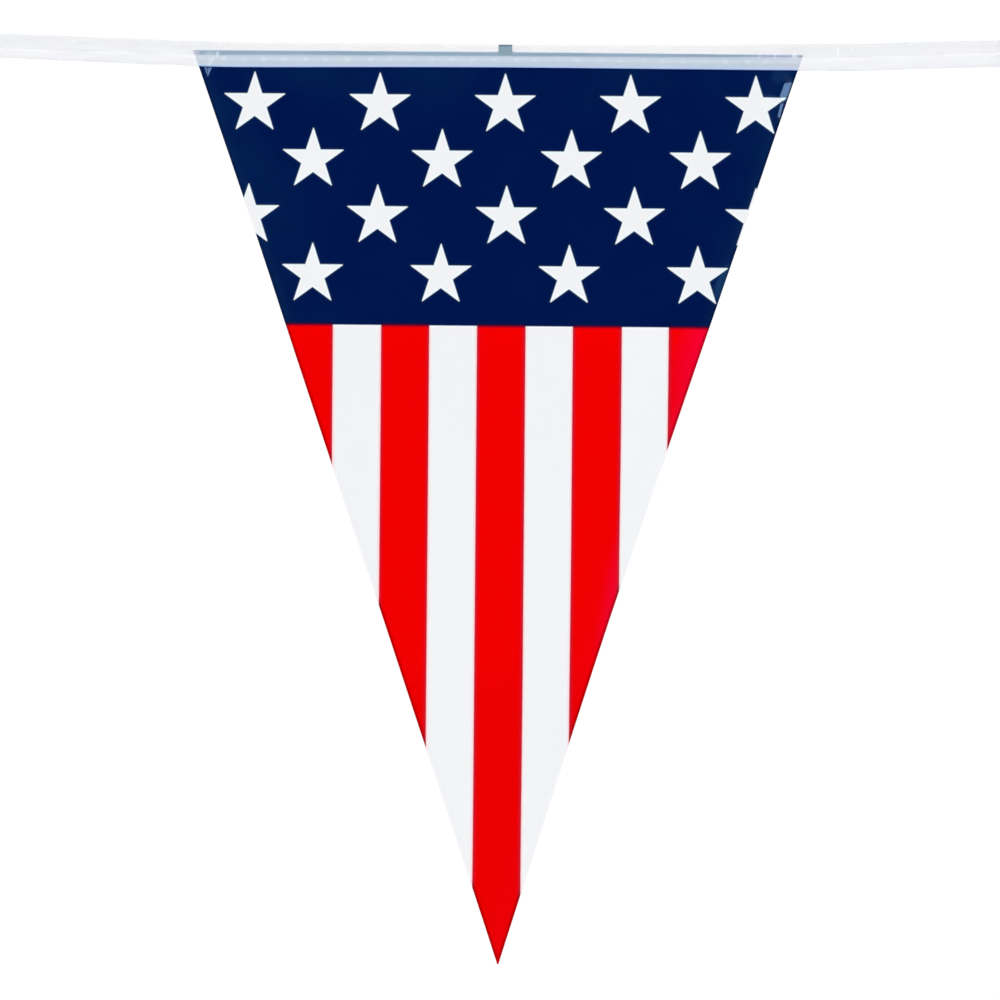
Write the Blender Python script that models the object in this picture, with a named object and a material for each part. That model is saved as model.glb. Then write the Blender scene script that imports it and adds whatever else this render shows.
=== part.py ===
"""A long triangular pennant hanging from a folded tape, in metres, +Z up.

X runs along the tape, to the right as seen from the front, and +Y points to the back. The origin is on the
tape's folded top edge, above the middle of the pennant. The pennant is one cut sheet whose top edge stands
in the tape's slot. The tape is one strip folded over that edge, and it dips a little under the weight.
"""

import bmesh
import bpy
import math
from collections import namedtuple

# ---------------------------------------------------------------- driving dimensions, in metres

# The pennant as it is cut: across is measured to the right from the middle of its top edge, and down from
# that edge towards the tip.
PENNANT_WIDTH = 0.2005
PENNANT_LENGTH = 0.2996
PENNANT_SKEW = 0.0019  # the tip lies this far right of the top edge's middle
SHEET = 0.0010  # thickness of the pennant's sheet
TIP_WIDTH = 0.0006
TAB_WIDTH = 0.0045
TAB_MIDDLE = 0.0021
TAB_RISE = 0.0013
EDGE_HOLLOW_LEFT = 0.0003  # how far the long edges are cut inside a straight line
EDGE_HOLLOW_RIGHT = 0.0012
EDGE_STEPS = 8
GRID = 0.0085  # size of the squares in which the sheet can bend

# How the pennant hangs
PENNANT_TURN = math.radians(0.48)  # clockwise, seen from the front
TOP_EDGE_DROP = 0.0028  # from the tape's top edge to the pennant's, at the middle
FREE_FROM = 0.0060  # the sheet is held flat by the tape down to here, and bends below
FREE_BY = 0.0320

# The tape: strip folded lengthwise
LEAF = 0.0010  # thickness of one side of the folded tape
PIECE_GAP = 0.0003
CLOSED_GAP = 0.0004  # between the tape's two sides where there is no pennant
OPENING_RUN = 0.0080  # length over which the tape opens to take the pennant
SEAM_SHARE = 0.60  # the heat-sealed line, as a share of the tape's height from its top
SEAM_WIDTH = 0.0012
SEAM_DEPTH = 0.0002
HEM_ROUND = 0.0003
FOLD_ROUND = 0.0005  # inner radius at the fold, and below it the least flat between its two bends
FOLD_FLAT = 0.00005
FOLD_STEPS = 4
TAPE_STEP = 0.0060

# Places along the tape: top edge's height, the tape's own height, and how far it strays to the back.
Station = namedtuple("Station", "x top height stray")
TAPE_RUN = [
    Station(-0.180, 0.0042, 0.0079, 0.0000),
    Station(-0.156, 0.0032, 0.0079, 0.0000),
    Station(-0.131, 0.0021, 0.0080, 0.0011),
    Station(-0.104, 0.0012, 0.0081, 0.0000),
    Station(-0.082, 0.0007, 0.0081, 0.0000),
    Station(-0.033, 0.0004, 0.0079, 0.0000),
    Station(0.000, 0.0000, 0.0077, 0.0000),
    Station(0.060, -0.0002, 0.0079, 0.0000),
    Station(0.092, 0.0001, 0.0083, 0.0000),
    Station(0.106, 0.0002, 0.0087, 0.0000),
    Station(0.131, 0.0007, 0.0089, -0.0010),
    Station(0.156, 0.0014, 0.0089, 0.0000),
    Station(0.180, 0.0020, 0.0089, 0.0000),
]

# Soft bends of the hanging sheet. Each is a rounded hump or hollow about a point of the cut sheet:
# how far it stands to the back, and how far it reaches across and down.
Bend = namedtuple("Bend", "across down reach_across reach_down depth")
SHEET_BENDS = [
    Bend(0.010, 0.130, 0.170, 0.120, 0.0024),
    Bend(-0.055, 0.062, 0.050, 0.055, -0.0011),
    Bend(0.060, 0.050, 0.045, 0.050, 0.0009),
    Bend(0.004, 0.285, 0.060, 0.055, -0.0020),
    Bend(-0.080, 0.020, 0.022, 0.026, 0.0006),
]
# The long edges curl to the back: over this width, by this depth where the curl is strongest.
CURL_WIDTH = 0.018
CURL_LEFT = 0.0009
CURL_RIGHT = 0.0026

NAVY = (0.0045, 0.0130, 0.0690, 1.0)
WHITE_FILM = (0.880, 0.885, 0.900, 1.0)


# ---------------------------------------------------------------- small helpers


def ease(share):
    """Smooth step from 0 to 1."""
    share = min(max(share, 0.0), 1.0)
    return share * share * (3.0 - 2.0 * share)


def rise_after(index, column):
    """Slope of the straight line from a station to the next, in a column of TAPE_RUN."""
    here, following = TAPE_RUN[index], TAPE_RUN[index + 1]
    return (getattr(following, column) - getattr(here, column)) / (following.x - here.x)


def slope_at(index, column):
    """Slope of a TAPE_RUN column at a station: level where the column turns or stands still."""
    rises = [rise_after(place, column) for place in (index - 1, index) if 0 <= place < len(TAPE_RUN) - 1]
    if min(rises) * max(rises) <= 0.0:
        return 0.0
    return len(rises) / sum(1.0 / rise for rise in rises)


def along(x, column):
    """A column of TAPE_RUN at x, on a smooth curve that never swings past its stations."""
    index = next((place for place in range(len(TAPE_RUN) - 2) if x <= TAPE_RUN[place + 1].x), len(TAPE_RUN) - 2)
    left, right = TAPE_RUN[index], TAPE_RUN[index + 1]
    span = right.x - left.x
    share = (x - left.x) / span
    start, end = getattr(left, column), getattr(right, column)
    leave, arrive = slope_at(index, column) * span, slope_at(index + 1, column) * span
    return (start + (end - start) * share**2 * (3 - 2 * share)
            + leave * share * (1 - share) ** 2 - arrive * share**2 * (1 - share))


def new_object(name, mesh, color, roughness):
    material = bpy.data.materials.new(name)
    material.use_nodes = True
    shader = material.node_tree.nodes["Principled BSDF"]
    shader.inputs["Base Color"].default_value = color
    shader.inputs["Roughness"].default_value = roughness
    shader.inputs["Metallic"].default_value = 0.0
    mesh.materials.append(material)
    obj = bpy.data.objects.new(name, mesh)
    bpy.context.scene.collection.objects.link(obj)
    return obj


# ---------------------------------------------------------------- the pennant


def long_edge(side, share):
    """The point of a long edge at this share of the way down; side is -1 for left and 1 for right."""
    hollow = EDGE_HOLLOW_LEFT if side < 0 else EDGE_HOLLOW_RIGHT
    top = side * PENNANT_WIDTH / 2
    tip = PENNANT_SKEW + side * TIP_WIDTH / 2
    across = top + (tip - top) * share - side * hollow * math.sin(math.pi * share)
    return across, PENNANT_LENGTH * share


def sheet_depth(across, down):
    """How far to the back the hanging sheet stands at a point of the cut sheet."""
    depth = 0.0
    for bend in SHEET_BENDS:
        reach = math.hypot((across - bend.across) / bend.reach_across, (down - bend.down) / bend.reach_down)
        depth += bend.depth * ease(1.0 - reach)
    share = min(max(down / PENNANT_LENGTH, 0.0), 1.0)
    for side, curl in ((-1, CURL_LEFT), (1, CURL_RIGHT)):
        inside = side * (long_edge(side, share)[0] - across)
        near = min(max(1.0 - inside / CURL_WIDTH, 0.0), 1.0)
        depth += curl * near**2 * math.sin(math.pi * share)
    return depth * ease((down - FREE_FROM) / (FREE_BY - FREE_FROM))


def hang(across, down):
    """World place of a point of the cut sheet, on the sheet's middle surface."""
    x = across * math.cos(PENNANT_TURN) - down * math.sin(PENNANT_TURN)
    drop = across * math.sin(PENNANT_TURN) + down * math.cos(PENNANT_TURN)
    return x, sheet_depth(across, down), -TOP_EDGE_DROP - drop


def grid_lines(low, high):
    """Evenly spaced places between low and high, about GRID apart."""
    count = math.ceil((high - low) / GRID)
    return [low + (high - low) * line / count for line in range(1, count)]


def cut_along(cut, place, normal):
    """Divides the flat sheet's faces by a straight line, so that the sheet can bend there."""
    everything = cut.verts[:] + cut.edges[:] + cut.faces[:]
    bmesh.ops.bisect_plane(cut, geom=everything, plane_co=place, plane_no=normal, dist=GRID / 40)


def build_pennant():
    cut = bmesh.new()
    tab_left, tab_right = TAB_MIDDLE - TAB_WIDTH / 2, TAB_MIDDLE + TAB_WIDTH / 2
    shares = [step / EDGE_STEPS for step in range(EDGE_STEPS + 1)]
    right = [cut.verts.new((*long_edge(1, share), 0)) for share in shares]
    left = [cut.verts.new((*long_edge(-1, share), 0)) for share in shares]
    base = [cut.verts.new((across, 0, 0)) for across in (tab_left, tab_right)]
    top = [cut.verts.new((across, -TAB_RISE, 0)) for across in (tab_left, tab_right)]
    cut.faces.new(base + right + left[::-1])
    cut.faces.new([top[0], top[1], base[1], base[0]])
    for line in grid_lines(-PENNANT_WIDTH / 2, PENNANT_WIDTH / 2):
        cut_along(cut, (line, 0, 0), (1, 0, 0))
    for line in [FREE_FROM] + grid_lines(FREE_FROM, PENNANT_LENGTH):
        cut_along(cut, (0, line, 0), (0, 1, 0))
    for vert in cut.verts:
        vert.co = hang(vert.co.x, vert.co.y)
    bmesh.ops.recalc_face_normals(cut, faces=cut.faces)
    bmesh.ops.triangulate(cut, faces=[face for face in cut.faces if len(face.verts) > 4])
    mesh = bpy.data.meshes.new("pennant")
    cut.to_mesh(mesh)
    cut.free()
    pennant = new_object("pennant", mesh, NAVY, 0.3)
    thickness = pennant.modifiers.new("Sheet", "SOLIDIFY")
    thickness.thickness = SHEET
    thickness.offset = 0.0
    thickness.use_rim = True


# ---------------------------------------------------------------- the tape


def slot_half(x):
    """Half the width of the slot between the tape's two sides."""
    with_sheet = SHEET / 2 + PIECE_GAP
    past_corner = abs(x) - PENNANT_WIDTH / 2 - PIECE_GAP
    return with_sheet + (CLOSED_GAP / 2 - with_sheet) * ease((past_corner - SHEET) / OPENING_RUN)


def fold_point(flat, middle, radius, step):
    """A point of the fold's rounded back half, from the side (step 0) to the flat top."""
    turn = math.pi / 2 * step / FOLD_STEPS
    return flat + radius * math.cos(turn), middle - radius * math.sin(turn)


def tape_section(x):
    """The folded strip's outline across Y, starting at the front hem and going over the fold."""
    height, slot = along(x, "height"), slot_half(x)
    outer = slot + LEAF
    seam = height * SEAM_SHARE
    side = [
        (slot, height - HEM_ROUND),
        (slot + HEM_ROUND, height),
        (outer - HEM_ROUND, height),
        (outer, height - HEM_ROUND),
        (outer, seam + SEAM_WIDTH / 2),
        (outer - SEAM_DEPTH, seam),
        (outer, seam - SEAM_WIDTH / 2),
    ]
    flat = max(slot - FOLD_ROUND, FOLD_FLAT)
    middle = LEAF + slot - flat
    over = [fold_point(flat, middle, middle, step) for step in range(FOLD_STEPS + 1)]
    under = [fold_point(flat, middle, slot - flat, step) for step in range(FOLD_STEPS + 1)]
    back = side[::-1] + under
    front = [(-out, drop) for out, drop in side] + [(-out, drop) for out, drop in over]
    return front + over[::-1] + back + [(-out, drop) for out, drop in under[::-1]]


def build_tape():
    first, last = TAPE_RUN[0].x, TAPE_RUN[-1].x
    steps = round((last - first) / TAPE_STEP)
    strip = bmesh.new()
    rings = []
    for step in range(steps + 1):
        x = first + (last - first) * step / steps
        top, stray = along(x, "top"), along(x, "stray")
        rings.append([strip.verts.new((x, stray + out, top - drop)) for out, drop in tape_section(x)])
    count = len(rings[0])
    for ring, following in zip(rings, rings[1:]):
        for point in range(count):
            after = (point + 1) % count
            strip.faces.new([ring[point], ring[after], following[after], following[point]])
    for ring in (rings[0], rings[-1]):
        strip.faces.new(ring)
    bmesh.ops.recalc_face_normals(strip, faces=strip.faces)
    mesh = bpy.data.meshes.new("tape")
    strip.to_mesh(mesh)
    strip.free()
    new_object("tape", mesh, WHITE_FILM, 0.35)


def main():
    for obj in list(bpy.data.objects):
        bpy.data.objects.remove(obj, do_unlink=True)
    build_pennant()
    build_tape()


main()
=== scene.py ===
"""A pennant bunting dressed as printed film on a folded film tape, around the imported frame.

Metres, +Z up: X runs along the tape, to the right as seen from the front, and +Y points to the back. Places on
the pennant are given as it is cut: across, to the right from the middle of its top edge, and down from there.
"""

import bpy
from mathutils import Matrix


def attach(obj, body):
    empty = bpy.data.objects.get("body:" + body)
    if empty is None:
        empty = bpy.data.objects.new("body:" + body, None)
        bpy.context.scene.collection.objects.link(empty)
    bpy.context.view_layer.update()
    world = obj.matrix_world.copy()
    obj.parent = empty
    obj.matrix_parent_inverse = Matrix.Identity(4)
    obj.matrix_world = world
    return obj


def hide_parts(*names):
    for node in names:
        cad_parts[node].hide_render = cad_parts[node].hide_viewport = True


bl_info = {
    "name": "Pennant bunting",
    "version": (1, 0, 0),
    "blender": (4, 5, 0),
    "location": "View3D > Sidebar > Bunting",
    "description": "Adds a long film pennant with stars and stripes, its folded film tape, and a plain studio",
    "category": "Add Mesh",
}

import math
from collections import namedtuple

import bmesh
import bpy
from bpy.props import FloatProperty, FloatVectorProperty, PointerProperty
from mathutils import Vector, noise

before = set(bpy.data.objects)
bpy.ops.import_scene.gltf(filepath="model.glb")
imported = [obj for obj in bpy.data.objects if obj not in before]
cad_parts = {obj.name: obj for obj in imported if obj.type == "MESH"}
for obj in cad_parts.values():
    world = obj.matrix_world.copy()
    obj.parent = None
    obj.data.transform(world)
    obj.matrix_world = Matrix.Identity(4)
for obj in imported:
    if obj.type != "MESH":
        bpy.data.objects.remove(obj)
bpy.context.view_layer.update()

MM = 0.001

# ---------------------------------------------------------------- tables of shapes and print

# Places along the tape: its top edge's height, its own height, how far it strays to the back, and how far
# above its hem the turned-in raw edges and the sealed line run.
Station = namedtuple("Station", "x top height stray raw seal")
TAPE_RUN = [
    Station(-0.180, 0.0042, 0.0078, 0.0000, 0.0030, 0.0030),
    Station(-0.156, 0.0032, 0.0078, 0.0000, 0.0032, 0.0027),
    Station(-0.141, 0.0027, 0.0080, 0.0006, 0.0034, 0.0029),
    Station(-0.129, 0.0022, 0.0079, 0.0011, 0.0036, 0.0033),
    Station(-0.115, 0.0018, 0.0083, 0.0005, 0.0038, 0.0033),
    Station(-0.108, 0.0013, 0.0078, 0.0002, 0.0038, 0.0031),
    Station(-0.096, 0.0010, 0.0083, 0.0000, 0.0038, 0.0028),
    Station(-0.082, 0.0007, 0.0082, 0.0000, 0.0040, 0.0027),
    Station(-0.033, 0.0004, 0.0079, 0.0000, 0.0038, 0.0026),
    Station(0.000, 0.0000, 0.0076, 0.0000, 0.0037, 0.0026),
    Station(0.060, -0.0002, 0.0080, 0.0000, 0.0039, 0.0026),
    Station(0.090, 0.0000, 0.0085, 0.0000, 0.0043, 0.0028),
    Station(0.106, 0.0001, 0.0087, 0.0000, 0.0044, 0.0034),
    Station(0.117, 0.0000, 0.0087, -0.0004, 0.0046, 0.0038),
    Station(0.131, 0.0004, 0.0087, -0.0010, 0.0047, 0.0039),
    Station(0.156, 0.0011, 0.0086, 0.0000, 0.0047, 0.0041),
    Station(0.180, 0.0017, 0.0086, 0.0000, 0.0047, 0.0042),
]

# How far each long edge is cut inside a straight line, at shares of the way down it.
EdgePoint = namedtuple("EdgePoint", "share left right")
LONG_EDGES = [
    EdgePoint(0.00, -0.00025, 0.00022),
    EdgePoint(0.06, -0.00014, 0.00046),
    EdgePoint(0.13, 0.00008, 0.00046),
    EdgePoint(0.22, 0.00026, 0.00062),
    EdgePoint(0.33, 0.00005, 0.00088),
    EdgePoint(0.45, 0.00000, 0.00110),
    EdgePoint(0.62, 0.00010, 0.00140),
    EdgePoint(0.72, 0.00005, 0.00116),
    EdgePoint(0.93, 0.00015, 0.00034),
    EdgePoint(1.00, 0.00000, 0.00000),
]

# Soft bends of the hanging sheet. Each is a rounded hump or hollow about a point of the cut sheet:
# how far it stands to the back, and how far it reaches across and down.
Bend = namedtuple("Bend", "across down reach_across reach_down depth")
SHEET_BENDS = [
    Bend(0.010, 0.130, 0.170, 0.120, 0.0024),
    Bend(-0.055, 0.062, 0.050, 0.055, -0.0011),
    Bend(0.060, 0.050, 0.045, 0.050, 0.0009),
    Bend(0.004, 0.285, 0.060, 0.055, -0.0020),
    Bend(-0.080, 0.020, 0.022, 0.026, 0.0006),
]

# Narrow creases of the pennant, from one point of the cut sheet down to another: how far they stand to the
# back, how far their flanks reach left and right in the picture, and how far they fade past both ends.
Crease = namedtuple("Crease", "from_across from_down to_across to_down depth reach_left reach_right fade")
PENNANT_CREASES = [
    Crease(0.0935, 0.0093, 0.0922, 0.0131, 0.00158, 0.0070, 0.0034, 0.0050),
    Crease(0.0925, 0.0161, 0.0916, 0.0196, 0.00074, 0.0034, 0.0016, 0.0035),
]
# Dents that narrow to a point below, at a place of the cut sheet: how far each side slants outwards for its
# height, the slope of each flank, and how deep the dent is at most.
Dent = namedtuple("Dent", "across down slant_left slant_right slope_left slope_right depth")
CORNER_DENT = Dent(-0.09580, 0.0091, 0.37, 0.41, 0.41, 0.41, 0.00046)
# Patches of the sheet that need small squares, for the creases in them.
Patch = namedtuple("Patch", "left right top bottom spacing")
FINE_PATCHES = [
    Patch(-0.0992, -0.0926, 0.0030, 0.0105, 0.00010),
    Patch(0.0865, 0.0985, 0.0040, 0.0250, 0.00025),
]

# Rows of stars: how far down their middles lie, and where each one is across.
StarRow = namedtuple("StarRow", "down across")
STAR_ROWS = [
    StarRow(0.01725, (-0.0802, -0.0390, 0.0022, 0.0434, 0.0846)),
    StarRow(0.0356, (-0.0608, -0.0184, 0.0241, 0.0665)),
    StarRow(0.05407, (-0.0819, -0.0395, 0.0029, 0.0450, 0.0850)),
    StarRow(0.07335, (-0.0607, -0.0185, 0.0237, 0.0660)),
]

# Small creases in the tape at the pennant's top corners, seen as spots: the pale ones are painted glints where
# the creases catch the light, and the others are rosy, lavender, dark or white. For each: middle, how far each
# reaches, how far its top leans to the right for its height, how strong it is, and how it looks.
Spot = namedtuple("Spot", "x z reach_x reach_z slant strength look")
TAPE_SPOTS_AND_GLINTS = [
    Spot(-0.0926, -0.0032, 0.00090, 0.00140, 0.15, 0.55, "pale"),
    Spot(-0.0951, -0.0031, 0.00290, 0.00130, 0.00, 0.30, "pale"),
    Spot(-0.0947, -0.0055, 0.00110, 0.00230, 0.56, 0.35, "pale"),
    Spot(-0.0903, -0.0045, 0.00110, 0.00110, 0.00, 0.30, "pale"),
    Spot(-0.0995, -0.0027, 0.00190, 0.00120, 0.00, 0.42, "rosy"),
    Spot(0.0900, -0.0038, 0.01300, 0.00260, 0.00, 0.10, "lavender"),
    Spot(0.0857, -0.0039, 0.00080, 0.00110, 0.20, 0.30, "pale"),
    Spot(0.0908, -0.0039, 0.00080, 0.00120, 0.00, 0.35, "pale"),
    Spot(0.0972, -0.0038, 0.00150, 0.00120, 0.00, 0.55, "pale"),
    Spot(0.0992, -0.0039, 0.00075, 0.00060, 0.00, 0.75, "dark"),
    Spot(-0.1398, 0.0011, 0.00045, 0.00080, 0.00, 0.18, "white"),
    Spot(0.1115, -0.0024, 0.00045, 0.00210, 0.00, 0.18, "white"),
    Spot(0.1164, -0.0016, 0.00045, 0.00110, 0.00, 0.11, "white"),
    Spot(0.1576, -0.0010, 0.00050, 0.00180, 0.00, 0.08, "white"),
]
# Blotches of painted teal sheen in the star field's right side, where the curled sheet catches the light; x is
# across and z is down.
TEAL_SHEEN_SPOTS = [
    Spot(0.0744, 0.0750, 0.0034, 0.0082, -0.33, 0.95, "teal"),
    Spot(0.0926, 0.0068, 0.0040, 0.0034, -0.30, 0.45, "teal"),
]
# the spots' colours; pale is the colour of a painted glint
SPOT_AND_GLINT_COLOURS = {
    "pale": (0.86, 0.93, 1.00), "rosy": (0.83, 0.66, 0.80), "lavender": (0.82, 0.55, 1.00),
    "dark": (0.30, 0.27, 0.26), "white": (1.00, 1.00, 1.00),
}

# Colours of the print where one ink meets another, and what is added to an ink where it is paler, or where
# painted sheen makes the red rosier and the navy teal.
RIMS = {
    "red": (0.53, 0.010, 0.029), "white by red": (1.0, 0.69, 0.71), "red by navy": (0.030, 0.002, 0.020),
    "white by navy": (0.93, 0.94, 1.0), "star": (0.845, 0.94, 0.985),
}
ADDED = {
    "sheen on red": (0.030, 0.0, 0.025), "bluish sheen on red": (0.0, 0.0, 0.016), "pale navy": (0.0006, 0.0060, 0.0110),
    "navy by the edge": (0.0013, 0.0035, 0.0), "navy by a star": (0.0030, 0.0056, 0.0),
    "teal": (0.0060, 0.0260, 0.0480),
}
# Colours of the tape's film in small places, and the casts of its soft patches.
FILM = {
    "gleam": (0.93, 0.975, 1.0), "over tab": (0.51, 0.73, 0.84), "hem at corner": (0.625, 0.670, 0.760),
    "lowest rim": (0.36, 0.51, 0.88), "greener": (0.985, 1.0, 0.993), "rosier": (1.0, 0.987, 1.0),
}
BLEED = 0.20 * MM  # how far an ink's edge is softened to each side
BLUNT_POINT = 0.37 * MM  # how much shorter a star's points are than sharp ones

GRID = 2.5 * MM  # squares in which the sheet bends
EDGE_STEPS = 24
TAPE_STEP = 0.6 * MM
PAST_CORNER = 8.0 * MM  # how far past the pennant's corners the tape's sides draw closer together
KNURL_PITCH = 6.9 * MM  # from one pressed dash of the sealed line to the next
CUT_MAP = "Cut"  # the pennant's UV map, over the sheet as it is cut
STRIP_MAP = "Strip"  # the tape's UV map, over the flat strip
FROM_EDGES = "from_edges"  # attribute: distance from the left and from the right long edge
TAPE_PLACE = "tape_place"  # attribute: distance below the fold, above the hem, and 1 on the turned-in part
TAPE_HEM = "tape_hem"  # attribute: distance above the raw edges, and above the sealed line


# ---------------------------------------------------------------- settings


def length_setting(name, default, description):
    return FloatProperty(name=name, default=default, description=description, unit="LENGTH", precision=5)


def share_setting(name, default, description):
    return FloatProperty(name=name, default=default, description=description, min=0.0, max=1.0)


def power_setting(name, default, description):
    return FloatProperty(name=name, default=default, description=description, subtype="POWER")


def colour_setting(name, default, description):
    return FloatVectorProperty(
        name=name, default=default, description=description, subtype="COLOR", size=3, min=0.0, max=1.0
    )


class BuntingPennantSettings(bpy.types.PropertyGroup):
    width: length_setting("Top edge", 0.2005, "Length of the pennant's cut top edge")
    length: length_setting("Length", 0.2996, "From the top edge to the tip")
    skew: length_setting("Tip to the right", 0.0021, "How far right of the top edge's middle the tip lies")
    film: length_setting("Film", 0.00012, "Thickness of the printed film")
    tip_width: length_setting("Tip width", 0.0004, "Width of the blunt tip")
    tab_width: length_setting("Tab width", 0.0045, "Width of the small tab above the top edge")
    tab_middle: length_setting("Tab place", 0.0021, "Middle of the tab, right of the top edge's middle")
    tab_rise: length_setting("Tab rise", 0.0025, "Height of the tab above the top edge")
    tab_foot: length_setting("Tab foot", 0.0008, "How far the tab's slanted foot spreads to each side")
    crown: length_setting("Crown", 0.0002, "How far the top edge bows up in the middle")
    turn: FloatProperty(
        name="Turn", default=math.radians(0.48), subtype="ANGLE", description="How far it hangs clockwise"
    )
    drop: length_setting("Drop", 0.0028, "From the tape's top edge to the pennant's, at the middle")
    free_from: length_setting("Held to", 0.0060, "The tape holds the sheet flat down to here")
    free_by: length_setting("Free from", 0.0320, "Below this the sheet bends freely")
    crease_from: length_setting("Creased from", 0.0034, "No crease reaches above here, under the tape")
    crease_ease: length_setting("Creased by", 0.0018, "How soon below there the creases stand out in full")
    crease_round: length_setting("Crease rounding", 0.00003, "How far the dent's rims are rounded off")
    curl_width: length_setting("Curl width", 0.018, "Width of the curl along the long edges")
    curl_left: length_setting("Left curl", 0.0009, "Depth of the left edge's curl to the back")
    curl_right: length_setting("Right curl", 0.0026, "Depth of the right edge's curl to the back")
    star_radius: length_setting(
        "Star radius", 0.01075, "From a star's middle to where the sides of a point meet"
    )
    stripe_pitch: length_setting("Stripe width", 0.01582, "Width of one stripe")
    stripe_middle: length_setting("Stripe place", 0.00150, "Middle of the middle red stripe, across the sheet")
    spread: length_setting("Ink spread", 0.00011, "How far the red ink has spread to each side")
    spread_lean: FloatProperty(
        name="Ink spread's lean", default=0.0024, precision=4,
        description="How much more it has spread further right",
    )
    field_depth: length_setting("Field depth", 0.0898, "From the top edge to the lower side of the star field")
    navy: colour_setting("Navy", (0.0001, 0.0072, 0.0700), "Ink of the star field")
    red: colour_setting("Red", (0.893, 0.0001, 0.0003), "Ink of the red stripes")
    white: colour_setting("White", (0.870, 0.875, 0.891), "Stars and white stripes")


class BuntingTapeSettings(bpy.types.PropertyGroup):
    leaf_out: length_setting("Leaf", 0.00046, "From the middle to each side of the tape, over the pennant")
    leaf_out_end: length_setting("Leaf at the ends", 0.00034, "The same, past the pennant")
    flap_inset: length_setting("Turned-in edge", 0.00024, "How far inside its side each turned-in edge lies")
    dash_pitch: length_setting("Dash pitch", 0.0069, "From one bright dash of the sealed line to the next")
    seam_pinch: length_setting("Seal depth", 0.00005, "How far the sealed line is pressed in")
    bulge: length_setting("Bulge", 0.00008, "How far each side stands out above the sealed line")
    room: length_setting("Room", 0.00035, "How far the back stands out over the pennant's dented corner")
    room_reach: length_setting("Room's reach", 0.0070, "How far it does so to each side of the dent")
    strip_width: length_setting("Strip width", 0.0245, "Width of the flat strip")
    clear: share_setting("Single layer", 0.50, "How dense one layer is")
    dense: share_setting("Hem layers", 0.95, "How dense each hem layer is")
    milk: colour_setting("Milky film", (0.870, 0.882, 0.903), "One layer over a pale background")
    taut_milk: colour_setting("Taut milky film", (0.905, 0.896, 0.903), "The same, above the pennant's middle")
    hem_milk: colour_setting("Milky hem", (0.938, 0.950, 0.974), "The hem over a pale background")
    seal_milk: colour_setting("Milky seal", (0.970, 0.980, 1.000), "The sealed line over a pale background")
    over_ink: colour_setting("Film over ink", (0.605, 0.800, 1.000), "One layer over the printed sheet")
    hem_over_ink: colour_setting("Hem over ink", (0.556, 0.651, 0.747), "The hem over the printed sheet")
    seal_over_ink: colour_setting(
        "Seal over ink", (0.680, 0.768, 0.860), "The sealed line over the printed sheet"
    )
    rim_over_ink: colour_setting(
        "Rim over ink", (0.545, 0.645, 0.900), "The hem's lower rim over the printed sheet"
    )
    dense_spot: share_setting("Creased layer", 0.95, "How dense a crease is")


class BuntingStageSettings(bpy.types.PropertyGroup):
    view_distance: length_setting("Camera distance", 1.6, "From the camera to the bunting")
    view_width: length_setting("View width", 0.328947, "Width of the camera's view at the bunting")
    view_right: length_setting("View right", 0.000329, "Middle of the view, right of the pennant's middle")
    view_height: length_setting("View height", -0.149868, "Middle of the view, above the tape's top edge")
    floor_height: length_setting("Floor", -0.52, "Height of the floor")
    floor_radius: length_setting("Floor radius", 1.3, "Radius of the round floor")
    backdrop: FloatProperty(name="Backdrop", default=1.02, description="Brightness of the plain background")
    fill: FloatProperty(name="Fill", default=0.757, description="Soft light from the sides, above and below")
    box_power: power_setting("Soft boxes", 10.95, "Power of each soft box")
    window_power: power_setting("Windows", 15.0, "Power of each window that the gloss mirrors")
    top_power: power_setting("Top light", 5.5, "Power of the top light")
    back_power: power_setting("Back boxes", 8.0, "Power of each soft box behind the bunting")


# ---------------------------------------------------------------- small helpers


def clamp(share):
    """The nearest number from 0 to 1."""
    return min(max(share, 0.0), 1.0)


def ease(share):
    """Smooth step from 0 to 1."""
    share = clamp(share)
    return share * share * (3.0 - 2.0 * share)


def rise_after(run, index, column):
    """Slope of the straight line from a table's row to the next, in one column. The first column says where."""
    here, following = run[index], run[index + 1]
    return (getattr(following, column) - getattr(here, column)) / (following[0] - here[0])


def slope_at(run, index, column):
    """Slope of a column at a row of a table: level where the column turns or stands still."""
    rises = [rise_after(run, place, column) for place in (index - 1, index) if 0 <= place < len(run) - 1]
    if min(rises) * max(rises) <= 0.0:
        return 0.0
    return len(rises) / sum(1.0 / rise for rise in rises)


def along(run, place, column):
    """A column of a table at a place, on a smooth curve that never swings past the table's rows."""
    index = next((row for row in range(len(run) - 2) if place <= run[row + 1][0]), len(run) - 2)
    before, after = run[index], run[index + 1]
    span = after[0] - before[0]
    share = (place - before[0]) / span
    start, end = getattr(before, column), getattr(after, column)
    leave, arrive = slope_at(run, index, column) * span, slope_at(run, index + 1, column) * span
    return (start + (end - start) * share**2 * (3 - 2 * share)
            + leave * share * (1 - share) ** 2 - arrive * share**2 * (1 - share))


def crease_depth(crease, across, down):
    """How far a crease stands out at a point: two straight flanks that meet in a small round."""
    start = Vector((crease.from_across, crease.from_down))
    line = Vector((crease.to_across, crease.to_down)) - start
    point = Vector((across, down)) - start
    away = point - line * clamp(point.dot(line) / line.length_squared)
    past_end = abs(away.dot(line)) / line.length
    aside = line.cross(point) / line.length
    reach = crease.reach_left if aside > 0.0 else crease.reach_right
    near = 1.0 - math.hypot(aside / reach, past_end / crease.fade)
    if near <= 0.0:
        return 0.0
    foot, top = 0.22, 0.16  # shares of the flank that are rounded at its foot and at the top
    height = near**2 / (2 * foot) if near < foot else near - foot / 2
    if near > 1.0 - top:
        height -= (near - 1.0 + top) ** 2 / (2 * top)
    return crease.depth * height


def soft_ramp(height, rounding):
    """The height where it is above zero and else zero, rounded off in between."""
    if abs(height) >= rounding:
        return max(height, 0.0)
    return (height + rounding) ** 2 / (4 * rounding)


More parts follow.
